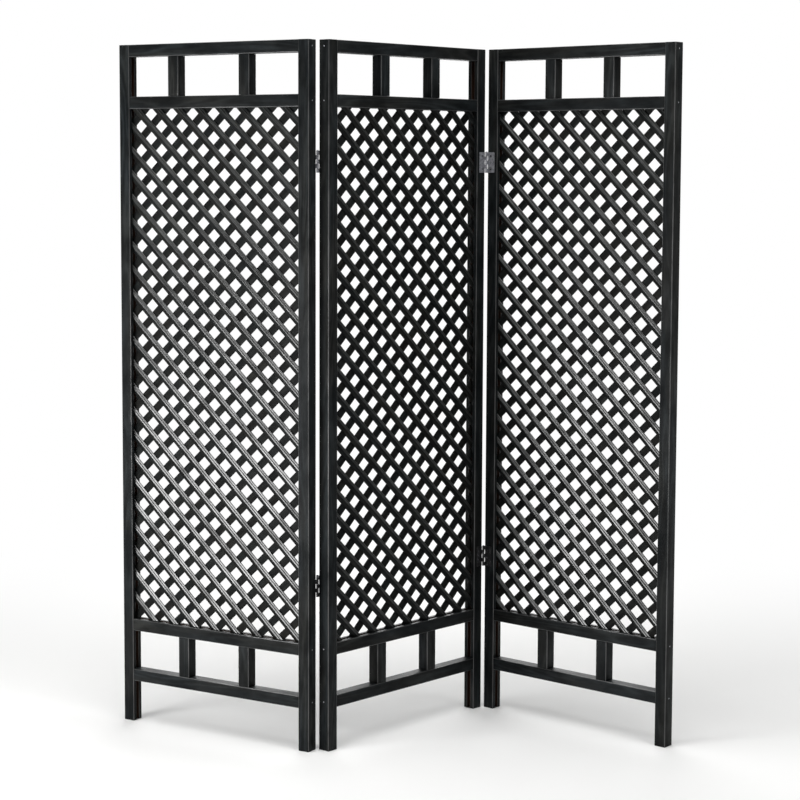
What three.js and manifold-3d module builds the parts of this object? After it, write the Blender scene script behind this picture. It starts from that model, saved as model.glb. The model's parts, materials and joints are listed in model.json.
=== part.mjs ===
// Three-panel folding screen in black-stained wood, standing in a zigzag.
// Each panel is a grooved frame round an open diagonal lattice, with a row of
// three square windows above it and another below. Two butt hinges join each
// pair of panels: behind the near fold, and in front of the far fold.
//
// Millimetres, +Z up, feet on z = 0, the front towards -Y. Inside a panel,
// x runs along its width, y from its front face to its back, z up.

import * as THREE from 'three';
import { mergeVertices } from 'three/addons/utils/BufferGeometryUtils.js';
import Module from 'manifold-3d';

const wasm = await Module();
wasm.setup();

// Panel
const panelWidth = 560;
const panelHeight = 1700;
const stileWidth = 30;
const stileDepth = 32;
const railHeight = 30;
const railDepth = 30;
const muntinWidth = 31;
const arrisChamfer = 1.4;
const seatGap = 0.3;

// Heights of the undersides of the four rails
const bottomRailZ = 104;
const lowerRailZ = 233;
const upperRailZ = 1543;
const topRailZ = panelHeight - railHeight;

// Groove along the inner edge of a stile and along a middle rail, which holds
// the lattice, and the rail's tongue in the stile's groove
const grooveWidth = 11;
const grooveDepth = 9;
const tongueLength = 8.4;
const tongueThickness = grooveWidth - 2 * seatGap;

// Lattice: moulded slats in front run down to the right, plain ones behind run
// up to the right, and the two layers meet on one plane
const openingPitchX = 63;
const openingPitchZ = 59;
const slatWidth = 18;
const slatThickness = 5;
const slatInset = 8;
const slatEdgeHeight = 3.2;
const reedGrooveWidth = 1.2;
const reedGrooveDepth = 0.7;

// Butt hinge: its axis stands off the wood by the knuckle and a small gap
const hingeHeights = { lower: 400, upper: 1415 };
const hingeLength = 52;
const leafWidth = 24;
const leafThickness = 1.2;
const knuckleRadius = 3;
const knuckleCount = 5;
const knuckleSides = 8;
const boreRadius = 1.9;
const pinRadius = 1.5;
const pinHeadRadius = 2.7;
const pinHeadHeight = 1.4;
const foldGap = 4;
const axisStandOff = knuckleRadius + seatGap;

// How each panel stands in plan: its turn from facing straight forward, the
// left edges of its muntins, and one lattice opening's centre as the distance
// from the lower left corner of the lattice opening
const panels = {
  left: { turn: -32, topMuntins: [149, 359], openingAt: [24.5, -0.3] },
  middle: { turn: 45.5, topMuntins: [178, 358], openingAt: [12.7, 34.8] },
  right: { turn: -42, topMuntins: [178, 353], openingAt: [23.6, 27.6] },
};
const bottomMuntins = [172, 353];

const blackWood = { color: '#26282a', roughness: 0.55, metalness: 0 };
const blackSlats = { color: '#2c2d2e', roughness: 0.4, metalness: 0 };
const greySteel = { color: '#6e7072', roughness: 0.35, metalness: 1 };

// Solids ---------------------------------------------------------------------

function solidOf(geometry) {
  const bare = geometry.clone();
  bare.deleteAttribute('normal');
  bare.deleteAttribute('uv');
  const merged = mergeVertices(bare, 1e-4);
  return new wasm.Manifold(new wasm.Mesh({
    numProp: 3,
    vertProperties: new Float32Array(merged.attributes.position.array),
    triVerts: new Uint32Array(merged.index.array),
  }));
}

function geometryOf(solid) {
  const mesh = solid.getMesh();
  const geometry = new THREE.BufferGeometry();
  geometry.setAttribute('position', new THREE.BufferAttribute(mesh.vertProperties, 3));
  geometry.setIndex(new THREE.BufferAttribute(mesh.triVerts, 1));
  geometry.computeVertexNormals();
  return geometry;
}

// A prism of the outline, from start to start + length along the third axis
function prism(shape, start, length) {
  const geometry = new THREE.ExtrudeGeometry(shape, {
    depth: length,
    bevelEnabled: false,
  });
  return geometry.translate(0, 0, start);
}

function block(x0, x1, y0, y1, z0, z1) {
  const box = new THREE.BoxGeometry(x1 - x0, y1 - y0, z1 - z0);
  return box.translate((x0 + x1) / 2, (y0 + y1) / 2, (z0 + z1) / 2);
}

// The outline's x lies along y, its y along z, and the prism runs along x
function alongX(geometry) {
  const basis = new THREE.Matrix4().makeBasis(
    new THREE.Vector3(0, 1, 0),
    new THREE.Vector3(0, 0, 1),
    new THREE.Vector3(1, 0, 0),
  );
  return geometry.applyMatrix4(basis);
}

// A rectangle with its arrises taken off. Where groove is given, a groove centred
// on the height is cut into its right-hand side.
function sectionOutline(width, height, groove) {
  const c = arrisChamfer;
  const points = [[c, 0], [width - c, 0], [width, c]];
  if (groove) {
    const low = (height - groove.width) / 2;
    const high = (height + groove.width) / 2;
    const bottom = width - groove.depth;
    points.push([width, low], [bottom, low], [bottom, high], [width, high]);
  }
  points.push([width, height - c], [width - c, height], [c, height], [0, height - c], [0, c]);
  return new THREE.Shape(points.map(([x, y]) => new THREE.Vector2(x, y)));
}

const latticeGroove = { width: grooveWidth, depth: grooveDepth };

// Frame pieces ---------------------------------------------------------------

// A stile with its grooved edge towards +X, or towards -X when turned
function stileGeometry(grooveTowardsMinusX) {
  const outline = sectionOutline(stileWidth, stileDepth, latticeGroove);
  const stile = prism(outline, 0, panelHeight);
  if (grooveTowardsMinusX) {
    stile.rotateZ(Math.PI).translate(panelWidth, stileDepth, 0);
  }
  return stile;
}

// A rail between the stiles with a tongue on each end. The lattice groove of a
// middle rail opens up or down, and its tongues stop short of the groove.
function railGeometry(bottomZ, grooveSide) {
  const groove = grooveSide ? latticeGroove : null;
  const length = panelWidth - 2 * (stileWidth + seatGap);
  // Drawn with the groove on the right, then turned so that it opens up or down
  const section = prism(sectionOutline(railHeight, railDepth, groove), 0, length);
  section.translate(-railHeight / 2, -railDepth / 2, 0);
  section.rotateZ(grooveSide === 'down' ? -Math.PI / 2 : Math.PI / 2);
  alongX(section);
  section.translate(stileWidth + seatGap, stileDepth / 2, bottomZ + railHeight / 2);

  const tongueBottom = bottomZ + (grooveSide === 'down' ? grooveDepth + seatGap : 0);
  const tongueTop = bottomZ + railHeight - (grooveSide === 'up' ? grooveDepth + seatGap : 0);
  const reach = stileWidth - tongueLength;
  const root = 4;
  const tongues = [
    [reach, stileWidth + seatGap + root],
    [panelWidth - stileWidth - seatGap - root, panelWidth - reach],
  ];
  let rail = solidOf(section);
  for (const [x0, x1] of tongues) {
    const y0 = (stileDepth - tongueThickness) / 2;
    const tongue = block(x0, x1, y0, y0 + tongueThickness, tongueBottom, tongueTop);
    rail = rail.add(solidOf(tongue));
  }
  return geometryOf(rail);
}

function muntinGeometry(leftX, bottomZ, topZ) {
  const outline = sectionOutline(muntinWidth, railDepth, null);
  const muntin = prism(outline, bottomZ + seatGap, topZ - bottomZ - 2 * seatGap);
  return muntin.translate(leftX, (stileDepth - railDepth) / 2, 0);
}

// Lattice --------------------------------------------------------------------

// Section of a front slat. A ridge runs along its middle: one smooth facet falls
// away to the lower left, and two reeds with a fine groove between them fall away
// to the upper right. x runs across the slat towards the upper right, y out from
// the plane between the layers.
function mouldedSlatOutline() {
  const half = slatWidth / 2;
  const fall = (slatThickness - slatEdgeHeight) / half;
  const onSlope = (x, depth) => new THREE.Vector2(x, slatThickness - fall * Math.abs(x) - depth);
  const reed = half / 2;
  return new THREE.Shape([
    new THREE.Vector2(-half, 0),
    new THREE.Vector2(half, 0),
    onSlope(half, 0),
    onSlope(reed + reedGrooveWidth / 2, 0),
    onSlope(reed, reedGrooveDepth),
    onSlope(reed - reedGrooveWidth / 2, 0),
    onSlope(0, 0),
    onSlope(-half, 0),
  ]);
}

function plainSlatOutline() {
  const half = slatWidth / 2;
  return new THREE.Shape([
    new THREE.Vector2(-half, 0),
    new THREE.Vector2(half, 0),
    new THREE.Vector2(half, slatThickness),
    new THREE.Vector2(-half, slatThickness),
  ]);
}

// All slats of one layer, joined. The layer in front faces -Y and its slats run
// down to the right, the one behind faces +Y and its slats run up to the right.
function slatLayer(outline, inFront, openingX, openingZ, area) {
  const steepness = Math.atan2(openingPitchZ, openingPitchX);
  const turn = inFront ? -1 : 1;
  const along = new THREE.Vector3(Math.cos(steepness), 0, turn * Math.sin(steepness));
  const out = new THREE.Vector3(0, turn, 0);
  const across = new THREE.Vector3().crossVectors(out, along);
  const spacing = openingPitchX * Math.sin(steepness);
  const middle = new THREE.Vector3(
    (area.x0 + area.x1) / 2,
    stileDepth / 2,
    (area.z0 + area.z1) / 2,
  );
  const reach = Math.hypot(area.x1 - area.x0, area.z1 - area.z0) / 2;
  const opening = new THREE.Vector3(openingX, stileDepth / 2, openingZ);
  const offset = opening.sub(middle).dot(across);
  const first = Math.ceil((-reach - offset) / spacing - 0.5);
  const last = Math.floor((reach - offset) / spacing - 0.5);
  let layer = null;
  for (let i = first; i <= last; i += 1) {
    const place = middle.clone().addScaledVector(across, offset + (i + 0.5) * spacing);
    const slat = prism(outline, -reach, 2 * reach);
    slat.applyMatrix4(new THREE.Matrix4().makeBasis(across, out, along).setPosition(place));
    layer = layer ? layer.add(solidOf(slat)) : solidOf(slat);
  }
  const depth = 2 * slatThickness;
  const y0 = stileDepth / 2 - depth;
  const frame = block(area.x0, area.x1, y0, y0 + 2 * depth, area.z0, area.z1);
  return layer.intersect(solidOf(frame));
}

// Both layers as one panel of lattice, its edges cut square for the grooves. A
// slat's corner too short to reach the other layer would fall off, so only the
// largest body is kept.
function latticeGeometry(openingAt) {
  const corner = { x: stileWidth, z: lowerRailZ + railHeight };
  const area = {
    x0: corner.x - slatInset,
    x1: panelWidth - stileWidth + slatInset,
    z0: corner.z - slatInset,
    z1: upperRailZ + slatInset,
  };
  const x = corner.x + openingAt[0];
  const z = corner.z + openingAt[1];
  const front = slatLayer(mouldedSlatOutline(), true, x, z, area);
  const back = slatLayer(plainSlatOutline(), false, x, z, area);
  const bodies = front.add(back).decompose();
  bodies.sort((a, b) => b.volume() - a.volume());
  return geometryOf(bodies[0]);
}

// Hinges ---------------------------------------------------------------------

function roundBar(radius, z0, z1) {
  const bar = new THREE.CylinderGeometry(radius, radius, z1 - z0, knuckleSides);
  bar.rotateY(Math.PI / knuckleSides);
  bar.rotateX(Math.PI / 2);
  return bar.translate(0, 0, (z0 + z1) / 2);
}

// One leaf with its knuckles, the pin's axis on z. The leaf reaches towards +X
// or -X, lies on wood at -Y, and is notched where the other leaf's knuckles are.
function leafGeometry(side, firstKnuckle) {
  const notch = knuckleRadius + 2 * seatGap;
  const y0 = -knuckleRadius;
  const y1 = y0 + leafThickness;
  const plateBlock = (near, far, z0, z1) =>
    block(Math.min(side * near, side * far), Math.max(side * near, side * far), y0, y1, z0, z1);
  let leaf = solidOf(plateBlock(notch, leafWidth, -hingeLength / 2, hingeLength / 2));
  const pitch = hingeLength / knuckleCount;
  for (let i = firstKnuckle; i < knuckleCount; i += 2) {
    const z0 = -hingeLength / 2 + i * pitch + (i > 0 ? seatGap / 2 : 0);
    const z1 = -hingeLength / 2 + (i + 1) * pitch - (i < knuckleCount - 1 ? seatGap / 2 : 0);
    leaf = leaf.add(solidOf(plateBlock(0, notch + 1, z0, z1)));
    leaf = leaf.add(solidOf(roundBar(knuckleRadius, z0, z1)));
  }
  return geometryOf(leaf.subtract(solidOf(roundBar(boreRadius, -hingeLength, hingeLength))));
}

// Pin with a round head above the top knuckle
function pinGeometry() {
  const bottom = -hingeLength / 2;
  const seat = hingeLength / 2 + seatGap;
  const profile = [
    new THREE.Vector2(0, bottom),
    new THREE.Vector2(pinRadius, bottom),
    new THREE.Vector2(pinRadius, seat),
    new THREE.Vector2(pinHeadRadius, seat),
    new THREE.Vector2(pinHeadRadius * 0.8, seat + pinHeadHeight),
    new THREE.Vector2(0, seat + pinHeadHeight),
  ];
  const pin = new THREE.LatheGeometry(profile, knuckleSides);
  return pin.rotateX(Math.PI / 2);
}

// Assembly -------------------------------------------------------------------

function named(name, geometry, look) {
  const mesh = new THREE.Mesh(geometry, new THREE.MeshStandardMaterial(look));
  mesh.name = name;
  return mesh;
}

function panelGroup(side) {
  const { topMuntins, openingAt } = panels[side];
  const group = new THREE.Group();
  const add = (name, geometry, look) => group.add(named(`${side}_${name}`, geometry, look));
  add('stile_a', stileGeometry(false), blackWood);
  add('stile_b', stileGeometry(true), blackWood);
  add('rail_top', railGeometry(topRailZ, null), blackWood);
  add('rail_upper', railGeometry(upperRailZ, 'down'), blackWood);
  add('rail_lower', railGeometry(lowerRailZ, 'up'), blackWood);
  add('rail_bottom', railGeometry(bottomRailZ, null), blackWood);
  const rows = {
    top: [topMuntins, upperRailZ + railHeight, topRailZ],
    bottom: [bottomMuntins, bottomRailZ + railHeight, lowerRailZ],
  };
  for (const [row, [edges, z0, z1]] of Object.entries(rows)) {
    edges.forEach((x, i) => {
      add(`muntin_${row}_${'ab'[i]}`, muntinGeometry(x, z0, z1), blackWood);
    });
  }
  add('lattice', latticeGeometry(openingAt), blackSlats);
  group.rotation.z = THREE.MathUtils.degToRad(panels[side].turn);
  return group;
}

// Moves a panel so that the point (x, y) of it lies at the given point of the plan
function placeAt(group, x, y, target) {
  const point = new THREE.Vector3(x, y, 0).applyEuler(group.rotation);
  group.position.copy(target).sub(point);
}

// The fold axis in panel coordinates, at its first or second stile, off its
// front or its back face
function foldAxis(atSecondStile, behind) {
  return new THREE.Vector3(
    atSecondStile ? panelWidth + foldGap / 2 : -foldGap / 2,
    behind ? stileDepth + axisStandOff : -axisStandOff,
    0,
  );
}

const screen = new THREE.Group();
const left = panelGroup('left');
const middle = panelGroup('middle');
const right = panelGroup('right');
screen.add(left, middle, right);

const leftFold = foldAxis(false, true).applyEuler(middle.rotation);
const rightFold = foldAxis(true, false).applyEuler(middle.rotation);
const leftPanelAxis = foldAxis(true, true);
const rightPanelAxis = foldAxis(false, false);
placeAt(left, leftPanelAxis.x, leftPanelAxis.y, leftFold);
placeAt(right, rightPanelAxis.x, rightPanelAxis.y, rightFold);

// A leaf is drawn with its wood at -Y, as behind a panel. In front of a panel it
// is turned half round, which also swaps the side that it reaches to.
function addHinges(fold, axis, behind, panelOnLeft, panelOnRight) {
  const halfTurn = behind ? 0 : Math.PI;
  const leaves = [
    { panel: panelOnLeft, reach: -1, firstKnuckle: 1 },
    { panel: panelOnRight, reach: 1, firstKnuckle: 0 },
  ];
  for (const [level, z] of Object.entries(hingeHeights)) {
    for (const { panel, reach, firstKnuckle } of leaves) {
      const side = behind ? reach : -reach;
      const name = `${fold}_hinge_${level}_${panel}_leaf`;
      const leaf = named(name, leafGeometry(side, firstKnuckle), greySteel);
      leaf.position.set(axis.x, axis.y, z);
      leaf.rotation.z = THREE.MathUtils.degToRad(panels[panel].turn) + halfTurn;
      screen.add(leaf);
    }
    const pin = named(`${fold}_hinge_${level}_pin`, pinGeometry(), greySteel);
    pin.position.set(axis.x, axis.y, z);
    screen.add(pin);
  }
}

addHinges('left_fold', leftFold, true, 'left', 'middle');
addHinges('right_fold', rightFold, false, 'middle', 'right');

// The origin lies on the floor below the centre of the whole screen
const box = new THREE.Box3().setFromObject(screen);
screen.position.x = -(box.min.x + box.max.x) / 2;
screen.position.y = -(box.min.y + box.max.y) / 2;

export default screen;
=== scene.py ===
"""Three-panel folding screen in black-stained wood with an open moulded lattice.

Everything is in metres: +Z up, the front towards -Y, the feet on z = 0. Inside
a panel, x runs along its width, y from its front face to its back, and z up.
"""

import json
import math

import bpy
import numpy as np
from bpy.props import FloatProperty, FloatVectorProperty, PointerProperty
from mathutils import Matrix, Vector


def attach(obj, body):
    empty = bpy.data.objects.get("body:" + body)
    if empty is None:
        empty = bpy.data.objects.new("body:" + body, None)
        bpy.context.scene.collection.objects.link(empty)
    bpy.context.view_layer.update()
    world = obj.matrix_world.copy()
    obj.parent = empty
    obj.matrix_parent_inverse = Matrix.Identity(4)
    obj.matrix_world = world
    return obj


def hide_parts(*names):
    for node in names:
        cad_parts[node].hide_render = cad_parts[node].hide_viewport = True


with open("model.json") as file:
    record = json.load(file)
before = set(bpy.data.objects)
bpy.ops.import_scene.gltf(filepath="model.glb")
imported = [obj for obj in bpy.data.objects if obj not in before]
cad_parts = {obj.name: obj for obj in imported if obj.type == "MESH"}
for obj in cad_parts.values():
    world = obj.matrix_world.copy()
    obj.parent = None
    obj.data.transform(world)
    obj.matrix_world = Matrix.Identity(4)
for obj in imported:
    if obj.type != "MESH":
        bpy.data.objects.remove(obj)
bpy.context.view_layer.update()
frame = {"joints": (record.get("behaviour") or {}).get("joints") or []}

bl_info = {
    "name": "Lattice folding screen",
    "version": (1, 0, 0),
    "blender": (4, 5, 0),
    "location": "3D View > Sidebar > Screen",
    "description": "Builds a three-panel folding screen with an open diagonal lattice",
    "category": "Add Mesh",
}

MM = 0.001

# Panel
PANEL_WIDTH = 560 * MM
PANEL_HEIGHT = 1700 * MM
STILE_WIDTH = 30 * MM
STILE_DEPTH = 32 * MM
RAIL_HEIGHT = 30 * MM
RAIL_DEPTH = 30 * MM
MUNTIN_WIDTH = 31 * MM
SEAT_GAP = 0.3 * MM
BOTTOM_RAIL_Z = 104 * MM
LOWER_RAIL_Z = 233 * MM
UPPER_RAIL_Z = 1543 * MM
TOP_RAIL_Z = PANEL_HEIGHT - RAIL_HEIGHT
GROOVE_WIDTH = 11 * MM
GROOVE_DEPTH = 9 * MM
TONGUE_LENGTH = 8.4 * MM
TONGUE_THICKNESS = GROOVE_WIDTH - 2 * SEAT_GAP

# Lattice
OPENING_PITCH_X = 63 * MM
OPENING_PITCH_Z = 59 * MM
SLAT_WIDTH = 18 * MM
SLAT_THICKNESS = 5 * MM
SLAT_INSET = 8 * MM

# Folds and hinges
FOLD_GAP = 4 * MM
KNUCKLE_RADIUS = 3 * MM
AXIS_STAND_OFF = KNUCKLE_RADIUS + SEAT_GAP
HINGE_HEIGHTS = {"lower": 400 * MM, "upper": 1415 * MM}
# How much grey steel shows on the hinges: the upper ones are drawn grey, the lower ones black
HINGE_GREY_STEEL = {"lower": 0.0, "upper": 0.85}
HINGE_LENGTH = 52 * MM
LEAF_WIDTH = 24 * MM
LEAF_THICKNESS = 1.2 * MM
KNUCKLE_COUNT = 5
KNUCKLE_CURL = math.radians(300)
PIN_RADIUS = 1.5 * MM
PIN_TIP_RADIUS = 1.2 * MM
PIN_HEAD_RADIUS = 2.7 * MM
PIN_HEAD_HEIGHT = 1.4 * MM
SCREW_FROM_AXIS = 12 * MM
SCREW_SPREAD = 32 * MM
# Radius left open at the middle of a turned piece, where its end face closes it
AXIS_HOLE = 0.1 * MM

# Each panel's turn in plan, the left edges of its muntins, and one lattice
# opening's centre from the lower left corner of the lattice opening
PANELS = {
    "left": {"turn": -32, "top": (149, 359), "opening": (24.5, -0.3)},
    "middle": {"turn": 45.5, "top": (178, 358), "opening": (12.7, 34.8)},
    "right": {"turn": -42, "top": (178, 353), "opening": (23.6, 27.6)},
}
BOTTOM_MUNTINS = (172, 353)

# Grain, as lengths across and along the board
PORE_LENGTH = 60 * MM
CLOUDS = (38 * MM, 90 * MM)
FLOW = (48 * MM, 420 * MM)
TONE = (300 * MM, 500 * MM)
CAST = (45 * MM, 240 * MM)
GROWTH_LINES = 9
WARM_CAST = (1.1, 1.0, 0.9, 1)
COOL_CAST = (0.95, 1.0, 1.03, 1)

# Lacquer
FLAKE_SIZE = 5 * MM
SCRATCH_SIZE = 1.2 * MM

# Studio: each lamp's size, place and aim
MID_SCREEN = (0, 0, 0.85)
LAMPS = {
    "softbox_left": ((1.0, 1.1), (-2.2, -1.4, 0.66), (0, 0, 0.66)),
    "overhead": ((2.8, 2.4), (0, -0.7, 3.8), (0, -0.1, 0)),
    "fill_right": ((1.6, 1.6), (2.8, -1.9, 1.7), MID_SCREEN),
    "rear": ((3.0, 1.6), (0, 3.4, 1.8), MID_SCREEN),
}
FLOOR_HALF_SIZE = 60.0
FLOOR_FADE_FROM, FLOOR_FADE_TO = 1.0, 2.6
WORLD_LEVEL = 0.08
# How far behind the screen a ray has to point to see the backdrop
BACKDROP_FROM, BACKDROP_TO = 0.42, 0.64

# Camera, from the middle panel's left front edge
CAMERA_RIGHT = 0.1688
CAMERA_IN_FRONT = 4.7136
CAMERA_HEIGHT = 1.408
CAMERA_SHIFT = -0.07
SENSOR_WIDTH = 36


# Settings --------------------------------------------------------------------


def colour_setting(name, description, default):
    """A colour property whose default is an sRGB hex value."""
    return FloatVectorProperty(name=name, description=description, default=linear(default),
                               subtype="COLOR", size=3, min=0, max=1)


def length_setting(name, description, default, low, high):
    """A length property; its values are given in millimetres."""
    return FloatProperty(name=name, description=description, default=default * MM,
                         min=low * MM, max=high * MM, unit="LENGTH")


def power_setting(name, description, default):
    """The power of a lamp."""
    return FloatProperty(name=name, description=description, default=default, min=0,
                         subtype="POWER")


def linear(hex_colour):
    """An sRGB hex colour, such as '#26282a', as three linear values."""
    srgb = [int(hex_colour[i:i + 2], 16) / 255 for i in (1, 3, 5)]
    return tuple(c / 12.92 if c <= 0.04045 else ((c + 0.055) / 1.055) ** 2.4 for c in srgb)


class FrameTimberSettings(bpy.types.PropertyGroup):
    stain: colour_setting("Stain", "Black stain where it took well", "#101213")
    faded: colour_setting("Faded stain", "Where the stain took less, along the grain", "#252829")
    # Lighter colour of the arrises: partly real wear, partly a painted highlight
    rubbed_and_highlighted: colour_setting("Rubbed arris", "Wood polished along its arrises", "#303131")
    bare: colour_setting("Bare wood", "Brown wood in the grooves, which the stain hardly reached",
                         "#32231c")
    arris: length_setting("Arris radius", "Rounding of the long edges", 1.9, 0.2, 4)


class LatticeSettings(bpy.types.PropertyGroup):
    stain: colour_setting("Stain", "Black stain on the slats", "#101111")
    faded: colour_setting("Faded stain", "Where the stain took less", "#1d1f1e")
    edge_height: length_setting("Edge height", "Height of a front slat at its edges", 3.1, 1, 5)
    reed_bulge: length_setting("Reed bulge", "How far a reed swells above the slope", 0.12, 0, 1)
    reed_groove: length_setting("Reed groove", "Depth of the fine groove between the reeds",
                                1.1, 0, 2)


class HingeSettings(bpy.types.PropertyGroup):
    steel: colour_setting("Steel", "Dull zinc plating", "#a3a4aa")
    lacquer: colour_setting("Lacquer", "Black lacquer on the steel", "#131314")
    screw_head: length_setting("Screw head", "Diameter of a screw head", 6.5, 3, 10)
    nail_head: length_setting("Nail head", "Diameter of a frame nail's head", 3.6, 1, 8)


class StageSettings(bpy.types.PropertyGroup):
    floor: colour_setting("Floor", "Pale studio floor", "#f2f2f1")
    lens: FloatProperty(name="Lens", description="Focal length on a 36 mm sensor",
                        default=90.1, min=20, max=200)
    pitch: FloatProperty(name="Pitch", description="How far the camera looks down",
                         default=0.0892, subtype="ANGLE")
    yaw: FloatProperty(name="Yaw", description="How far the camera looks towards +X from +Y",
                       default=0.023, subtype="ANGLE")
    roll: FloatProperty(name="Roll", description="The camera's turn about its view axis",
                        default=0.004, subtype="ANGLE")
    softbox_left: power_setting("Softbox", "Power of the softbox at the left", 52)
    overhead: power_setting("Overhead", "Power of the lamp above", 115)
    fill_right: power_setting("Fill", "Power of the lamp at the right", 28)
    rear: power_setting("Rear", "Power of the lamp behind", 85)


SETTINGS = {
    "timber": FrameTimberSettings,
    "lattice": LatticeSettings,
    "hinges": HingeSettings,
    "stage": StageSettings,
}


# Shapes ----------------------------------------------------------------------


def unit(vectors):
    """Each row divided by its length."""
    return vectors / np.maximum(np.linalg.norm(vectors, axis=-1, keepdims=True), 1e-12)


def rounded_outline(corners, radii, steps=4):
    """A closed outline whose corners are rounded.

    Each corner P is replaced by the curve (1-s)^2 A + 2s(1-s) P + s^2 B for s
    from 0 to 1, where A and B lie on its two sides, a radius away from it.
    Also gives how far each point is into its corner: 0 on a flat, 1 mid-arris.
    """
    p = np.array(corners, float)
    r = np.array(radii, float)[:, None]
    a = p + unit(np.roll(p, 1, 0) - p) * r
    b = p + unit(np.roll(p, -1, 0) - p) * r
    s = np.linspace(0, 1, steps + 1)[None, :, None]
    curve = (1 - s) ** 2 * a[:, None] + 2 * s * (1 - s) * p[:, None] + s ** 2 * b[:, None]
    into = np.tile(4 * s[0, :, 0] * (1 - s[0, :, 0]), len(p))
    return curve.reshape(-1, 2), into


def outline_normals(outline):
    """Outward normal at each point of an outline that runs counter-clockwise."""
    along = np.roll(outline, -1, 0) - np.roll(outline, 1, 0)
    return unit(np.stack([along[:, 1], -along[:, 0]], 1))


def bar_rings(outline, start, end, end_radius, steps=3):
    """Rings of a straight bar of the outline, along its third axis.

    The ends are rounded: at angle q from 0 to a right angle a ring lies
    r(1 - cos q) in from the end and is drawn in by r(1 - sin q).
    """
    q = np.linspace(0, math.pi / 2, steps + 1)
    rise, fall = 1 - np.cos(q), 1 - np.cos(q[::-1])
    station = np.concatenate([start + end_radius * rise, end - end_radius * fall])
    inset = np.concatenate([end_radius * (1 - np.sin(q)), end_radius * (1 - np.sin(q[::-1]))])
    section = outline[None] - outline_normals(outline)[None] * inset[:, None, None]
    height = np.broadcast_to(station[:, None, None], section.shape[:2] + (1,))
    return np.concatenate([section, height], 2)


def revolved_rings(profile, sides):
    """Rings about the third axis: point (r, h) of the profile sweeps to (r cos a, r sin a, h)."""
    r, h = np.array(profile, float).T
    a = np.arange(sides) * 2 * math.pi / sides
    ring = np.stack([np.cos(a), np.sin(a)], 1)
    height = np.broadcast_to(h[:, None, None], (len(r), sides, 1))
    return np.concatenate([r[:, None, None] * ring[None], height], 2)


def bar_faces(rings, sides, first):
    """Faces of a closed bar: quads from ring to ring and one polygon on each end."""
    k, i = np.meshgrid(np.arange(rings - 1), np.arange(sides), indexing="ij")
    j = (i + 1) % sides
    quads = np.stack([k * sides + i, k * sides + j, (k + 1) * sides + j, (k + 1) * sides + i], -1)
    bottom = np.arange(sides)[::-1]
    top = (rings - 1) * sides + np.arange(sides)
    ends = [(bottom + first).tolist(), (top + first).tolist()]
    return (quads.reshape(-1, 4) + first).tolist() + ends


class Builder:
    """Collects bars into one mesh, each with its grain coordinates and its wear value, which also
    places painted highlights.
    """

    def __init__(self):
        self.points = []
        self.grain = []
        self.wear = []
        self.faces = []
        self.count = 0

    def add(self, rings, basis, place, grain_offset=(0, 0, 0), wear=0.0):
        """Adds a bar. The columns of basis are its section's two axes and its length.

        The wear is one number, or one for each point of the section.
        """
        k, n, _ = rings.shape
        flat = rings.reshape(-1, 3)
        self.points.append(flat @ np.array(basis, float).T + np.array(place, float))
        self.grain.append(flat + np.array(grain_offset, float))
        self.wear.append(np.resize(wear, k * n))
        self.faces += bar_faces(k, n, self.count)
        self.count += k * n

    def finish(self, name, frame_matrix, material, body, replaced=(), slot=None, sharp=40):
        """Makes the mesh, puts its place into its points and seats it on its body."""
        points = np.concatenate(self.points)
        matrix = np.array(frame_matrix, float)
        points = points @ matrix[:3, :3].T + matrix[:3, 3]
        mesh = bpy.data.meshes.new(name)
        mesh.from_pydata(points, [], self.faces)
        grain = mesh.attributes.new("grain", "FLOAT_VECTOR", "POINT")
        grain.data.foreach_set("vector", np.concatenate(self.grain).astype(np.float32).ravel())
        wear = mesh.attributes.new("wear", "FLOAT", "POINT")
        wear.data.foreach_set("value", np.concatenate(self.wear).astype(np.float32))
        mesh.shade_smooth()
        mesh.set_sharp_from_angle(angle=math.radians(sharp))
        mesh.materials.append(material)
        if mesh.validate(verbose=False):
            raise RuntimeError(f"{name}: its mesh had faults")
        piece = bpy.data.objects.new(name, mesh)
        bpy.context.scene.collection.objects.link(piece)
        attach(piece, body)
        if replaced:
            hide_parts(*replaced)
        return piece


UPRIGHT = np.eye(3)
# A rail's section lies in y and z, and its length along x
CROSSWISE = np.array([[0, 0, 1], [1, 0, 0], [0, 1, 0]], float)


def panel_matrix(side):
    """Where a panel stands: its turn, and the place that puts its fold axis on its joint."""
    joints = {joint["name"]: Vector(joint["pos_m"]) for joint in frame["joints"]}
    behind = STILE_DEPTH + AXIS_STAND_OFF
    seats = {
        "left": ("left_fold", PANEL_WIDTH + FOLD_GAP / 2, behind),
        "middle": ("left_fold", -FOLD_GAP / 2, behind),
        "right": ("right_fold", -FOLD_GAP / 2, -AXIS_STAND_OFF),
    }
    joint, x, y = seats[side]
    turn = Matrix.Rotation(math.radians(PANELS[side]["turn"]), 4, "Z")
    place = joints[joint] - turn @ Vector((x, y, 0))
    place.z = 0
    return Matrix.Translation(place) @ turn


def grain_offset(name):
    """A different stretch of the board for each piece, the same on every run."""
    seed = sum((i + 1) * ord(c) for i, c in enumerate(name))
    return np.random.default_rng(seed).uniform(-3, 3, 3)


# Materials -------------------------------------------------------------------


def add_node(tree, kind, inputs=None, **settings):
    """Adds a node with its settings; an input is a value or another node's output."""
    node = tree.nodes.new(kind)
    for name, value in settings.items():
        setattr(node, name, value)
    for key, value in (inputs or {}).items():
        if isinstance(value, bpy.types.NodeSocket):
            tree.links.new(value, node.inputs[key])
        else:
            node.inputs[key].default_value = value
    return node


def new_material(name):
    """An empty node material with its output, ready for a shader."""
    material = bpy.data.materials.new(name)
    material.use_nodes = True
    material.node_tree.nodes.clear()
    return material, material.node_tree


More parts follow.
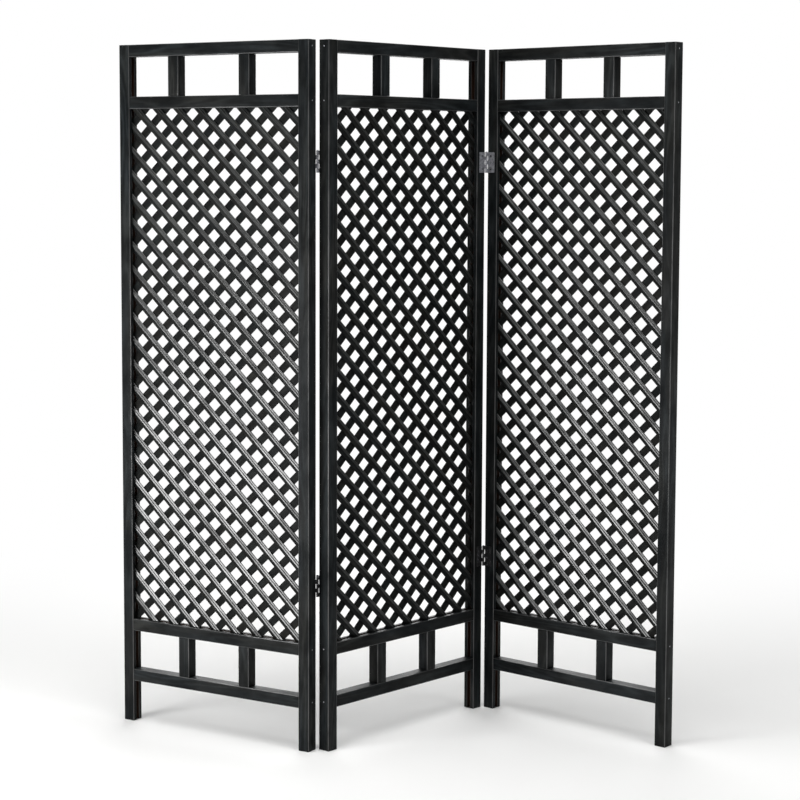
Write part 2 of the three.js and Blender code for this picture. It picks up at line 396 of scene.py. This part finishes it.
def stained_pine(name, stain, faded, rubbed_and_highlighted, bare, polish_and_highlight, roughness, specular, streak):
    """Planed softwood under black stain, wiped while wet.

    The grain attribute holds the place in the board: across, through, along.
    The wear attribute is 0 on a face, 1 on an arris and -1 in a groove. Where it is 1 the colour is
    lightened, partly as real wear and partly as a painted highlight.
    Growth lines are the contours sin(2 pi k noise) of a noise that is stretched
    along the board, so that they run straight, wander and close round a heart,
    as on a flat-sawn face.
    """
    material, tree = new_material(name)
    grain = add_node(tree, "ShaderNodeAttribute", attribute_name="grain").outputs["Vector"]
    wear = add_node(tree, "ShaderNodeAttribute", attribute_name="wear").outputs["Fac"]

    def stretched_noise(across, along, **inputs):
        place = add_node(tree, "ShaderNodeVectorMath",
                         {0: grain, 1: (1 / across, 1 / across, 1 / along)}, operation="MULTIPLY")
        inputs = {"Vector": place.outputs[0], "Scale": 1, **inputs}
        return add_node(tree, "ShaderNodeTexNoise", inputs).outputs["Fac"]

    def maths(operation, *values):
        inputs = dict(enumerate(values))
        return add_node(tree, "ShaderNodeMath", inputs, operation=operation).outputs[0]

    def ranged(value, low, high, to_low=0.0, to_high=1.0):
        return add_node(tree, "ShaderNodeMapRange",
                        {"Value": value, "From Min": low, "From Max": high,
                         "To Min": to_low, "To Max": to_high}).outputs[0]

    def mixed(factor, first, second, **settings):
        return add_node(tree, "ShaderNodeMix", {"Factor": factor, 6: first, 7: second},
                        data_type="RGBA", **settings).outputs[2]

    # Pores are about 0.2 mm apart; they are drawn at the streak's width to show
    fine = stretched_noise(streak, PORE_LENGTH, Detail=3, Roughness=0.65)
    clouds = stretched_noise(*CLOUDS, Detail=5, Roughness=0.62)
    flow = stretched_noise(*FLOW, Detail=1.5, Distortion=0.3)
    tone = stretched_noise(*TONE, Detail=2)
    # Growth lines 3 mm apart on the wood, drawn about 5 mm apart
    rings = maths("SINE", maths("MULTIPLY", flow, 2 * math.pi * GROWTH_LINES))
    growth = maths("POWER", ranged(rings, -1, 1), 2)

    paleness = maths("MULTIPLY", maths("MULTIPLY_ADD", growth, 0.5, fine), clouds)
    amount = maths("MULTIPLY", ranged(paleness, 0.18, 0.62), ranged(tone, 0.35, 0.65, 0.45, 1.4))
    body = mixed(amount, (*stain, 1), (*faded, 1))

    # Cool and warm casts, as the stain has in places
    cast = add_node(tree, "ShaderNodeValToRGB", {"Fac": stretched_noise(*CAST, Detail=2)})
    warm, cool = cast.color_ramp.elements
    warm.position, warm.color = 0.36, WARM_CAST
    cool.position, cool.color = 0.6, COOL_CAST
    tinted = mixed(1.0, body, cast.outputs["Color"], blend_type="MULTIPLY")

    # The arrises are lightened unevenly, partly real wear and partly a painted highlight, and the
    # stain hardly reached the grooves
    uneven = ranged(clouds, 0.35, 0.6, 0.45 * polish_and_highlight, polish_and_highlight)
    on_arris = maths("MULTIPLY", ranged(wear, 0, 0.4), uneven)
    polished_and_highlighted = mixed(on_arris, tinted, (*rubbed_and_highlighted, 1))
    colour = mixed(ranged(wear, 0, -1), polished_and_highlighted, (*bare, 1))

    # Pale wood is open and dull; an arris is polished by hands
    dull = maths("SUBTRACT", ranged(fine, 0.3, 0.7, roughness - 0.05, roughness + 0.07),
                 maths("MULTIPLY", on_arris, 0.14))
    shine = maths("MAXIMUM", ranged(clouds, 0.35, 0.65, specular * 0.6, specular * 1.4), on_arris)
    relief = add_node(tree, "ShaderNodeBump",
                      {"Height": maths("MULTIPLY_ADD", growth, 0.6, fine), "Distance": 0.2 * MM,
                       "Strength": 0.5})
    shader = add_node(tree, "ShaderNodeBsdfPrincipled",
                      {"Base Color": colour, "Roughness": dull, "Specular IOR Level": shine,
                       "Normal": relief.outputs[0]})
    add_node(tree, "ShaderNodeOutputMaterial", {"Surface": shader.outputs[0]})
    return material


def frame_timber():
    """Black-stained pine of the frames: planed and matt."""
    look = bpy.context.scene.screen_timber
    return stained_pine("black_stained_pine", look.stain, look.faded, look.rubbed_and_highlighted, look.bare,
                        polish_and_highlight=1.0, roughness=0.5, specular=0.08, streak=1.8 * MM)


def front_slat_timber():
    """The moulded slats took a glossier coat, which catches the light on their reeds. The upper
    right half of each slat is also painted lighter, a painted sheen.
    """
    look = bpy.context.scene.screen_lattice
    return stained_pine("lacquered_pine_moulding", look.stain, look.faded, look.faded, look.faded,
                        polish_and_highlight=0.9, roughness=0.42, specular=0.07, streak=1.2 * MM)


def back_slat_timber():
    """The plain slats behind are sawn laths, stained and left matt."""
    look = bpy.context.scene.screen_lattice
    return stained_pine("black_stained_lath", look.stain, look.faded, look.faded, look.faded,
                        polish_and_highlight=0.1, roughness=0.55, specular=0.06, streak=1.8 * MM)


def lacquered_steel():
    """Zinc-plated steel under thin black lacquer.

    The wear attribute is 1 where the steel shows as dull grey zinc, and 0 where the black lacquer
    is whole but for a few flakes.
    """
    look = bpy.context.scene.screen_hinges
    material, tree = new_material("lacquered_steel")
    place = add_node(tree, "ShaderNodeTexCoord").outputs["Object"]
    wear = add_node(tree, "ShaderNodeAttribute", attribute_name="wear").outputs["Fac"]
    flakes = add_node(tree, "ShaderNodeTexNoise",
                      {"Vector": place, "Scale": 1 / FLAKE_SIZE, "Detail": 5,
                       "Roughness": 0.65}).outputs["Fac"]
    scratches = add_node(tree, "ShaderNodeTexNoise",
                         {"Vector": place, "Scale": 1 / SCRATCH_SIZE, "Detail": 3}).outputs["Fac"]
    grey_share = add_node(tree, "ShaderNodeMath", {0: wear, 1: 0.42, 2: flakes},
                    operation="MULTIPLY_ADD").outputs[0]
    bare = add_node(tree, "ShaderNodeMapRange",
                    {"Value": grey_share, "From Min": 0.56, "From Max": 0.92}).outputs[0]
    colour = add_node(tree, "ShaderNodeMix",
                      {"Factor": bare, 6: (*look.lacquer, 1), 7: (*look.steel, 1)},
                      data_type="RGBA").outputs[2]
    # Zinc oxide scatters light, so the bare parts aren't a mirror either
    metal = add_node(tree, "ShaderNodeMath", {0: bare, 1: 0.65}, operation="MULTIPLY").outputs[0]
    dull = add_node(tree, "ShaderNodeMapRange",
                    {"Value": scratches, "From Min": 0.3, "From Max": 0.7,
                     "To Min": 0.34, "To Max": 0.52}).outputs[0]
    relief = add_node(tree, "ShaderNodeBump",
                      {"Height": bare, "Distance": 0.05 * MM, "Strength": 0.4}, invert=True)
    shader = add_node(tree, "ShaderNodeBsdfPrincipled",
                      {"Base Color": colour, "Metallic": metal, "Roughness": dull,
                       "Normal": relief.outputs[0]})
    shader.inputs["Specular IOR Level"].default_value = 0.4
    add_node(tree, "ShaderNodeOutputMaterial", {"Surface": shader.outputs[0]})
    return material


def shared(name, make):
    """A material by name, made the first time that it is asked for."""
    return bpy.data.materials.get(name) or make()


# Frame pieces ----------------------------------------------------------------


def grooved_section(width, depth, arris, groove):
    """Section of a frame piece: a rectangle with rounded arrises, and where groove is
    true, a groove with softened lips in the middle of its right-hand side.

    Also gives the wear at each point: 1 on an arris, 0 on a flat, -1 in the groove. On an arris the
    material lightens the colour: partly real wear, partly a painted highlight.
    """
    w, d = width, depth
    lip = 0.9 * MM
    corner = 0.3 * MM
    low, high = (d - GROOVE_WIDTH) / 2, (d + GROOVE_WIDTH) / 2
    corners = [(0, 0), (w, 0)]
    radii = [arris, arris]
    if groove:
        corners += [(w, low), (w - GROOVE_DEPTH, low), (w - GROOVE_DEPTH, high), (w, high)]
        radii += [lip, corner, corner, lip]
    corners += [(w, d), (0, d)]
    radii += [arris, arris]
    outline, wear = rounded_outline(corners, radii)
    in_groove = (outline[:, 0] < w - 0.5 * lip) & (outline[:, 0] > w / 2)
    in_groove &= (outline[:, 1] > low - 0.01 * MM) & (outline[:, 1] < high + 0.01 * MM)
    wear[in_groove & groove] = -1
    return outline, wear


def body_of_panel(side):
    """The body that a panel's pieces ride on."""
    return f"{side}_panel"


def seat_timber(builder, side, node):
    """Finishes a frame piece under its node's name, on its panel."""
    timber = shared("black_stained_pine", frame_timber)
    builder.finish(f"{node}_timber", panel_matrix(side), timber, body_of_panel(side), [node],
                   "black_wood")


class SCREEN_OT_stiles(bpy.types.Operator):
    """Makes the six uprights, each grooved along its inner edge"""
    bl_idname = "screen.stiles"
    bl_label = "Stiles"

    def execute(self, context):
        arris = context.scene.screen_timber.arris
        outline, wear = grooved_section(STILE_WIDTH, STILE_DEPTH, arris, groove=True)
        rings = bar_rings(outline, 0, PANEL_HEIGHT, 1.2 * MM)
        half_turn = np.diag([-1.0, -1.0, 1.0])
        for side in PANELS:
            for letter, basis, place in (
                ("a", UPRIGHT, (0, 0, 0)),
                ("b", half_turn, (PANEL_WIDTH, STILE_DEPTH, 0)),
            ):
                node = f"{side}_stile_{letter}"
                builder = Builder()
                builder.add(rings, basis, place, grain_offset(node), wear)
                seat_timber(builder, side, node)
        return {"FINISHED"}


class SCREEN_OT_rails(bpy.types.Operator):
    """Makes the twelve rails with their tongues; the middle ones are grooved for the lattice"""
    bl_idname = "screen.rails"
    bl_label = "Rails"

    def execute(self, context):
        arris = context.scene.screen_timber.arris
        front = (STILE_DEPTH - RAIL_DEPTH) / 2
        near, far = STILE_WIDTH + SEAT_GAP, PANEL_WIDTH - STILE_WIDTH - SEAT_GAP
        rails = {
            "top": (TOP_RAIL_Z, None),
            "upper": (UPPER_RAIL_Z, "down"),
            "lower": (LOWER_RAIL_Z, "up"),
            "bottom": (BOTTOM_RAIL_Z, None),
        }
        for side in PANELS:
            for level, (z, opens) in rails.items():
                node = f"{side}_rail_{level}"
                outline, wear = grooved_section(RAIL_HEIGHT, RAIL_DEPTH, arris,
                                                groove=opens is not None)
                # Drawn with the groove on the right, then turned to open up or down
                turned = outline[:, ::-1] * ((1, -1) if opens == "down" else (-1, 1))
                turned = turned - turned.min(0)
                builder = Builder()
                offset = grain_offset(node)
                rings = bar_rings(turned, near, far, 0.5 * MM)
                builder.add(rings, CROSSWISE, (0, front, z), offset, wear)
                low = z + (GROOVE_DEPTH + SEAT_GAP if opens == "down" else 0)
                high = z + RAIL_HEIGHT - (GROOVE_DEPTH + SEAT_GAP if opens == "up" else 0)
                t, h = TONGUE_THICKNESS, high - low
                tongue, _ = rounded_outline([(0, 0), (t, 0), (t, h), (0, h)], [0.3 * MM] * 4,
                                            steps=1)
                y = (STILE_DEPTH - TONGUE_THICKNESS) / 2
                reach = STILE_WIDTH - TONGUE_LENGTH
                for x0, x1 in ((reach, near), (far, PANEL_WIDTH - reach)):
                    rings = bar_rings(tongue, x0, x1, 0.1 * MM, 1)
                    builder.add(rings, CROSSWISE, (0, y, low), offset)
                seat_timber(builder, side, node)
        return {"FINISHED"}


class SCREEN_OT_muntins(bpy.types.Operator):
    """Makes the twelve short uprights between the rails"""
    bl_idname = "screen.muntins"
    bl_label = "Muntins"

    def execute(self, context):
        arris = context.scene.screen_timber.arris
        outline, wear = grooved_section(MUNTIN_WIDTH, RAIL_DEPTH, arris, groove=False)
        front = (STILE_DEPTH - RAIL_DEPTH) / 2
        for side, panel in PANELS.items():
            rows = {
                "top": (panel["top"], UPPER_RAIL_Z + RAIL_HEIGHT, TOP_RAIL_Z),
                "bottom": (BOTTOM_MUNTINS, BOTTOM_RAIL_Z + RAIL_HEIGHT, LOWER_RAIL_Z),
            }
            for row, (edges, low, high) in rows.items():
                rings = bar_rings(outline, low + SEAT_GAP, high - SEAT_GAP, 0.5 * MM)
                for letter, x in zip("ab", edges):
                    node = f"{side}_muntin_{row}_{letter}"
                    builder = Builder()
                    builder.add(rings, UPRIGHT, (x * MM, front, 0), grain_offset(node), wear)
                    seat_timber(builder, side, node)
        return {"FINISHED"}


# Lattice ---------------------------------------------------------------------


def moulded_section(look):
    """Section of a front slat, counter-clockwise; x runs across it, y out from its back.

    The height falls from the ridge at x = 0 in a straight line to the edges.
    On the upper right half two reeds swell above that slope, each as half a
    sine wave, and a fine groove lies between them.
    """
    half = SLAT_WIDTH / 2
    ease = 0.5 * MM
    x = np.concatenate([np.linspace(half - ease, 0, 21), np.linspace(0, -half + ease, 6)[1:]])
    slope = SLAT_THICKNESS - (SLAT_THICKNESS - look.edge_height) * np.abs(x) / half
    reed = half / 2
    swell = np.where(x > 0, look.reed_bulge * np.abs(np.sin(math.pi * x / reed)), 0)
    cut = look.reed_groove * np.exp(-((x - reed) / (0.55 * MM)) ** 2)
    top = np.stack([x, slope + swell - cut], 1)
    top[:, 1] = np.minimum(top[:, 1], SLAT_THICKNESS)
    right = [(half, 0.2 * MM), (half, look.edge_height - ease)]
    left = [(-half, look.edge_height - ease), (-half, 0.2 * MM)]
    base = [(-half + 0.2 * MM, 0), (half - 0.2 * MM, 0)]
    outline = np.concatenate([base[1:], right, top, left, base[:1]])
    # The upper right half is glossier, and its colour is lightened there as a painted sheen
    polished_and_highlighted = (outline[:, 0] > 0) & (outline[:, 1] > 0.1 * MM)
    return outline, polished_and_highlighted.astype(float)


def plain_section():
    """Section of a back slat: a flat lath with eased edges."""
    half = SLAT_WIDTH / 2
    corners = [(-half, 0), (half, 0), (half, SLAT_THICKNESS), (-half, SLAT_THICKNESS)]
    return rounded_outline(corners, [0.2 * MM, 0.2 * MM, 0.7 * MM, 0.7 * MM], steps=3)


def slat_layer(builder, section, in_front, opening, seed):
    """Adds one layer of slats, each cut off where it leaves the lattice's rectangle.

    A point of the section at a across a slat runs along the line
    c + a * across + t * along. It starts and ends where that line meets the
    sides of the rectangle, so the ends follow the frame's grooves.
    """
    outline, wear = section
    steep = math.atan2(OPENING_PITCH_Z, OPENING_PITCH_X)
    turn = -1 if in_front else 1
    along = np.array([math.cos(steep), 0, turn * math.sin(steep)])
    out = np.array([0, turn, 0], float)
    across = np.cross(out, along)
    spacing = OPENING_PITCH_X * math.sin(steep)
    low = np.array([STILE_WIDTH - SLAT_INSET, LOWER_RAIL_Z + RAIL_HEIGHT - SLAT_INSET])
    high = np.array([PANEL_WIDTH - STILE_WIDTH + SLAT_INSET, UPPER_RAIL_Z + SLAT_INSET])
    plane = STILE_DEPTH / 2
    centre = np.array([(low[0] + high[0]) / 2, plane, (low[1] + high[1]) / 2])
    start = np.array([STILE_WIDTH + opening[0] * MM, plane,
                      LOWER_RAIL_Z + RAIL_HEIGHT + opening[1] * MM])
    offset = (start - centre) @ across
    reach = np.hypot(*(high - low)) / 2
    index = np.arange(math.ceil((-reach - offset) / spacing - 0.5),
                      math.floor((reach - offset) / spacing - 0.5) + 1)
    middles = centre + across * (offset + (index + 0.5) * spacing)[:, None]

    lines = middles[:, None] + across * outline[None, :, :1] + out * outline[None, :, 1:]
    at = lines[:, :, [0, 2]]
    direction = along[[0, 2]]
    bounds = np.stack([(low - at) / direction, (high - at) / direction], -1)
    begin, end = bounds.min(-1).max(-1), bounds.max(-1).min(-1)
    rng = np.random.default_rng(seed)
    for line, t0, t1 in zip(lines, begin, end):
        if (t1 - t0).min() < 2 * MM:
            continue
        ends = np.stack([line + along * t0[:, None], line + along * t1[:, None]])
        board = rng.uniform(-3, 3, 3)
        flat = np.concatenate([outline, outline])
        grain = np.concatenate([flat, np.concatenate([t0, t1])[:, None]], 1) + board
        n = len(outline)
        builder.points.append(ends.reshape(-1, 3))
        builder.grain.append(grain)
        builder.wear.append(np.tile(wear, 2))
        builder.faces += bar_faces(2, n, builder.count)
        builder.count += 2 * n


class SCREEN_OT_lattices(bpy.types.Operator):
    """Makes each panel's lattice: moulded slats in front, plain ones crossing behind"""
    bl_idname = "screen.lattices"
    bl_label = "Lattices"

    def execute(self, context):
        look = context.scene.screen_lattice
        front_look = shared("lacquered_pine_moulding", front_slat_timber)
        back_look = shared("black_stained_lath", back_slat_timber)
        for number, (side, panel) in enumerate(PANELS.items()):
            node = f"{side}_lattice"
            front = Builder()
            slat_layer(front, moulded_section(look), True, panel["opening"], 10 + number)
            front.finish(f"{node}_front_slats", panel_matrix(side), front_look,
                         body_of_panel(side), [node], "black_slats", sharp=32)
            back = Builder()
            slat_layer(back, plain_section(), False, panel["opening"], 20 + number)
            back.finish(f"{node}_back_slats", panel_matrix(side), back_look,
                        body_of_panel(side), [node], "black_slats")
        return {"FINISHED"}


# Hinges and fasteners --------------------------------------------------------


def curled_knuckle(side, root):
    """Section of a rolled knuckle: the plate runs in below the pin and curls round it.

    The outer face follows a circle of the knuckle's radius and the inner face
    one a plate's thickness less, through five sixths of a turn.
    """
    turn = np.linspace(-math.pi / 2, -math.pi / 2 - KNUCKLE_CURL, 22)
    inner = KNUCKLE_RADIUS - LEAF_THICKNESS
    outer = np.stack([np.cos(turn), np.sin(turn)], 1)
    back = outer[::-1] * inner
    outline = np.concatenate([[(root, -KNUCKLE_RADIUS)], outer * KNUCKLE_RADIUS,
                              back, [(root, -inner)]])
    return outline[::-1] if side > 0 else outline * (-1, 1)


def leaf_builder(side, first_knuckle, grey_share):
    """One hinge leaf with the pin's axis on z: a plate with rounded corners, and its knuckles."""
    notch = KNUCKLE_RADIUS + 2 * SEAT_GAP
    half = HINGE_LENGTH / 2
    builder = Builder()
    corner = 2.2 * MM
    x0, x1 = side * notch, side * LEAF_WIDTH
    plate, _ = rounded_outline([(x0, -half), (x1, -half), (x1, half), (x0, half)],
                               [0.3 * MM, corner, corner, 0.3 * MM], steps=5)
    if side < 0:
        plate = plate[::-1]
    # The plate's outline lies in x and z, and its thickness runs along -y
    flat = np.array([[1, 0, 0], [0, 0, -1], [0, 1, 0]], float)
    inner = KNUCKLE_RADIUS - LEAF_THICKNESS
    builder.add(bar_rings(plate, inner, KNUCKLE_RADIUS, 0.25 * MM), flat, (0, 0, 0), wear=grey_share)
    pitch = HINGE_LENGTH / KNUCKLE_COUNT
    for i in range(first_knuckle, KNUCKLE_COUNT, 2):
        low = -half + i * pitch + (SEAT_GAP / 2 if i > 0 else 0)
        high = -half + (i + 1) * pitch - (SEAT_GAP / 2 if i < KNUCKLE_COUNT - 1 else 0)
        curl = bar_rings(curled_knuckle(side, notch + 1 * MM), low, high, 0.12 * MM, 1)
        builder.add(curl, UPRIGHT, (0, 0, 0), wear=grey_share)
    return builder


def screw_rings(diameter):
    """An oval screw head with a cross recess, from its crown outwards.

    At the fraction f of the radius its height is crown - (crown - rim) f^2,
    less the recess where the point lies in either arm of the cross.
    """
    crown, rim, recess = 1.15 * MM, 0.3 * MM, 0.75 * MM
    f = np.concatenate([np.linspace(0.03, 0.66, 14), [0.8, 0.92, 1.0]])
    height = crown - (crown - rim) * f ** 2
    profile = np.stack([np.append(f, 1.0) * diameter / 2, np.append(height, -0.4 * MM)], 1)
    rings = revolved_rings(profile, 48)
    x, y = np.abs(rings[..., 0]), np.abs(rings[..., 1])
    arm, reach = 0.075 * diameter, 0.31 * diameter
    in_cross = (np.minimum(x, y) < arm) & (np.maximum(x, y) < reach)
    rings[..., 2] -= np.where(in_cross, recess, 0)
    return rings[::-1]


class SCREEN_OT_hinges(bpy.types.Operator):
    """Makes the four butt hinges: leaves with rolled knuckles, pins and cross-headed screws"""
    bl_idname = "screen.hinges"
    bl_label = "Hinges"

    def execute(self, context):
        look = context.scene.screen_hinges
        steel = shared("lacquered_steel", lacquered_steel)
        joints = {joint["name"]: Vector(joint["pos_m"]) for joint in frame["joints"]}
        folds = {
            "left_fold": (True, "left", "middle", "left"),
            "right_fold": (False, "middle", "right", "right"),
        }
        head = screw_rings(look.screw_head)
        # A screw's axis points off the leaf, which lies below it, at -y
        upward = np.array([[1, 0, 0], [0, 0, 1], [0, -1, 0]], float)
        for fold, (behind, on_left, on_right, pinned) in folds.items():
            for level, z in HINGE_HEIGHTS.items():
                axis = Matrix.Translation((joints[fold].x, joints[fold].y, z))
                grey_share = HINGE_GREY_STEEL[level]
                for panel, reach, first in ((on_left, -1, 1), (on_right, 1, 0)):
                    side = reach if behind else -reach
                    angle = math.radians(PANELS[panel]["turn"]) + (0 if behind else math.pi)
                    place = axis @ Matrix.Rotation(angle, 4, "Z")
                    node = f"{fold}_hinge_{level}_{panel}_leaf"
                    leaf = leaf_builder(side, first, grey_share)
                    leaf.finish(f"{node}_plate", place, steel, body_of_panel(panel), [node],
                                "hinge_steel")
                    screws = Builder()
                    top = -(KNUCKLE_RADIUS - LEAF_THICKNESS)
                    for up in (-0.5, 0.5):
                        spot = (side * SCREW_FROM_AXIS, top, up * SCREW_SPREAD)
                        screws.add(head, upward, spot, wear=0.4 * grey_share)
                    screws.finish(f"{node}_screws", place, steel, body_of_panel(panel),
                                  slot="hinge_steel")
                node = f"{fold}_hinge_{level}_pin"
                bottom, seat = -HINGE_LENGTH / 2, HINGE_LENGTH / 2 + SEAT_GAP
                crown = seat + PIN_HEAD_HEIGHT
                profile = [(AXIS_HOLE, bottom), (PIN_TIP_RADIUS, bottom),
                           (PIN_RADIUS, bottom + 0.3 * MM), (PIN_RADIUS, seat),
                           (2.6 * MM, seat), (PIN_HEAD_RADIUS, seat + 0.4 * MM),
                           (2.2 * MM, seat + 1.1 * MM), (1.2 * MM, crown), (AXIS_HOLE, crown)]
                pin = Builder()
                pin.add(revolved_rings(profile, 24), UPRIGHT, (0, 0, 0), wear=1)
                pin.finish(f"{node}_turned", axis, steel, body_of_panel(pinned), [node],
                           "hinge_steel")
        return {"FINISHED"}


class SCREEN_OT_nails(bpy.types.Operator):
    """Sets the nails that hold the rails, their heads in the stiles' outer edges"""
    bl_idname = "screen.nails"
    bl_label = "Frame nails"

    def execute(self, context):
        look = context.scene.screen_hinges
        steel = shared("lacquered_steel", lacquered_steel)
        r = look.nail_head / 2
        profile = [(r, -1.5 * MM), (r, -0.1 * MM), (0.85 * r, 0.12 * MM),
                   (0.5 * r, 0.2 * MM), (0.05 * r, 0.22 * MM)]
        head = revolved_rings(profile, 20)
        # The head's axis points to the left, off stile a, or to the right, off stile b
        leftward = np.array([[0, 0, -1], [0, 1, 0], [1, 0, 0]], float)
        rightward = np.array([[0, 0, 1], [0, 1, 0], [-1, 0, 0]], float)
        levels = (BOTTOM_RAIL_Z, LOWER_RAIL_Z, UPPER_RAIL_Z, TOP_RAIL_Z)
        heights = [z + RAIL_HEIGHT / 2 for z in levels]
        for side in PANELS:
            builder = Builder()
            for z in heights:
                builder.add(head, leftward, (0, STILE_DEPTH / 2, z), wear=1)
                builder.add(head, rightward, (PANEL_WIDTH, STILE_DEPTH / 2, z), wear=1)
            builder.finish(f"{side}_frame_nails", panel_matrix(side), steel, body_of_panel(side),
                           slot="hinge_steel")
        return {"FINISHED"}


# Stage -----------------------------------------------------------------------


def studio_floor(look):
    """Pale matt floor that fades to the white of the backdrop away from the screen."""
    material, tree = new_material("studio_floor")
    path = add_node(tree, "ShaderNodeLightPath")
    place = add_node(tree, "ShaderNodeTexCoord").outputs["Object"]
    distance = add_node(tree, "ShaderNodeVectorMath", {0: place}, operation="LENGTH")
    away = add_node(tree, "ShaderNodeMapRange",
                    {"Value": distance.outputs["Value"], "From Min": FLOOR_FADE_FROM,
                     "From Max": FLOOR_FADE_TO}, interpolation_type="SMOOTHSTEP")
    # Metal and gloss see the same white floor as the camera; light that scatters doesn't
    clear = add_node(tree, "ShaderNodeMath",
                     {0: path.outputs["Is Glossy Ray"], 1: path.outputs["Is Transmission Ray"]},
                     operation="MAXIMUM")
    shown = add_node(tree, "ShaderNodeMath",
                     {0: clear.outputs[0], 1: path.outputs["Is Camera Ray"]}, operation="MAXIMUM")
    fade = add_node(tree, "ShaderNodeMath", {0: away.outputs[0], 1: shown.outputs[0]},
                    operation="MULTIPLY")
    matt = add_node(tree, "ShaderNodeBsdfDiffuse", {"Color": (*look.floor, 1)})
    white = add_node(tree, "ShaderNodeEmission", {"Color": (1, 1, 1, 1), "Strength": 1.0})
    mix = add_node(tree, "ShaderNodeMixShader",
                   {0: fade.outputs[0], 1: matt.outputs[0], 2: white.outputs[0]})
    add_node(tree, "ShaderNodeOutputMaterial", {"Surface": mix.outputs[0]})
    return material


def area_lamp(name, power, size, place, target):
    """A soft rectangular lamp, aimed at a point and hidden from the camera."""
    lamp = bpy.data.lights.new(name, "AREA")
    lamp.shape = "RECTANGLE"
    lamp.size, lamp.size_y = size
    lamp.energy = power
    holder = bpy.data.objects.new(name, lamp)
    holder.location = place
    holder.rotation_euler = (Vector(target) - Vector(place)).to_track_quat("-Z", "Y").to_euler()
    holder.visible_camera = False
    bpy.context.scene.collection.objects.link(holder)


class SCREEN_OT_stage(bpy.types.Operator):
    """Sets the floor, the lamps, the world and the camera"""
    bl_idname = "screen.stage"
    bl_label = "Stage"

    def execute(self, context):
        scene = context.scene
        look = scene.screen_stage
        scene.view_settings.view_transform = "Standard"

        size = FLOOR_HALF_SIZE
        mesh = bpy.data.meshes.new("floor")
        corners = [(-size, -size, 0), (size, -size, 0), (size, size, 0), (-size, size, 0)]
        mesh.from_pydata(corners, [], [(0, 1, 2, 3)])
        mesh.materials.append(studio_floor(look))
        floor = bpy.data.objects.new("floor", mesh)
        scene.collection.objects.link(floor)

        world = bpy.data.worlds.new("studio")
        scene.world = world
        world.use_nodes = True
        tree = world.node_tree
        tree.nodes.clear()
        path = add_node(tree, "ShaderNodeLightPath")
        direction = add_node(tree, "ShaderNodeTexCoord").outputs["Generated"]
        depth = add_node(tree, "ShaderNodeSeparateXYZ", {0: direction}).outputs["Y"]
        # Glossy and transmitted rays see the white backdrop where it stands, behind the screen
        backdrop = add_node(tree, "ShaderNodeMapRange",
                            {"Value": depth, "From Min": BACKDROP_FROM,
                             "From Max": BACKDROP_TO})
        clear = add_node(tree, "ShaderNodeMath",
                         {0: path.outputs["Is Glossy Ray"], 1: path.outputs["Is Transmission Ray"]},
                         operation="MAXIMUM")
        seen = add_node(tree, "ShaderNodeMath", {0: clear.outputs[0], 1: backdrop.outputs[0]},
                        operation="MULTIPLY")
        shown = add_node(tree, "ShaderNodeMath",
                         {0: seen.outputs[0], 1: path.outputs["Is Camera Ray"]},
                         operation="MAXIMUM")
        level = add_node(tree, "ShaderNodeMapRange",
                         {"Value": shown.outputs[0], "To Min": WORLD_LEVEL, "To Max": 1.0})
        light = add_node(tree, "ShaderNodeBackground",
                         {"Color": (1, 1, 1, 1), "Strength": level.outputs[0]})
        add_node(tree, "ShaderNodeOutputWorld", {"Surface": light.outputs[0]})

        for name, (size, place, target) in LAMPS.items():
            area_lamp(name, getattr(look, name), size, place, target)

        camera = bpy.data.cameras.new("camera")
        camera.sensor_width = SENSOR_WIDTH
        camera.lens = look.lens
        camera.shift_y = CAMERA_SHIFT
        camera.clip_end = 200
        holder = bpy.data.objects.new("camera", camera)
        corner = panel_matrix("middle").translation
        aim = Matrix.Rotation(-look.yaw, 4, "Z")
        place = corner - aim @ Vector((-CAMERA_RIGHT, CAMERA_IN_FRONT, 0))
        place.z = CAMERA_HEIGHT
        tilt = Matrix.Rotation(math.pi / 2 - look.pitch, 4, "X")
        turn = aim @ tilt @ Matrix.Rotation(look.roll, 4, "Z")
        holder.matrix_world = Matrix.Translation(place) @ turn
        scene.collection.objects.link(holder)
        scene.camera = holder
        return {"FINISHED"}


# Panel in the sidebar, and the run -------------------------------------------


OPERATORS = (
    SCREEN_OT_stage,
    SCREEN_OT_stiles,
    SCREEN_OT_rails,
    SCREEN_OT_muntins,
    SCREEN_OT_lattices,
    SCREEN_OT_hinges,
    SCREEN_OT_nails,
)


class VIEW3D_PT_screen(bpy.types.Panel):
    """Sizes, colours and pieces of the screen"""
    bl_label = "Folding screen"
    bl_idname = "VIEW3D_PT_screen"
    bl_space_type = "VIEW_3D"
    bl_region_type = "UI"
    bl_category = "Screen"

    def draw(self, context):
        layout = self.layout
        for name in SETTINGS:
            group = getattr(context.scene, f"screen_{name}")
            box = layout.box()
            box.label(text=name.capitalize())
            for prop in group.bl_rna.properties:
                if prop.identifier not in {"rna_type", "name"}:
                    box.prop(group, prop.identifier)
        for operator in OPERATORS:
            layout.operator(operator.bl_idname)


def register():
    for cls in (*SETTINGS.values(), *OPERATORS, VIEW3D_PT_screen):
        bpy.utils.register_class(cls)
    for name, cls in SETTINGS.items():
        setattr(bpy.types.Scene, f"screen_{name}", PointerProperty(type=cls))


def unregister():
    for name in SETTINGS:
        delattr(bpy.types.Scene, f"screen_{name}")
    for cls in reversed((*SETTINGS.values(), *OPERATORS, VIEW3D_PT_screen)):
        bpy.utils.unregister_class(cls)


def main():
    register()
    for operator in OPERATORS:
        group, name = operator.bl_idname.split(".")
        getattr(getattr(bpy.ops, group), name)()


if __name__ == "__main__":
    main()
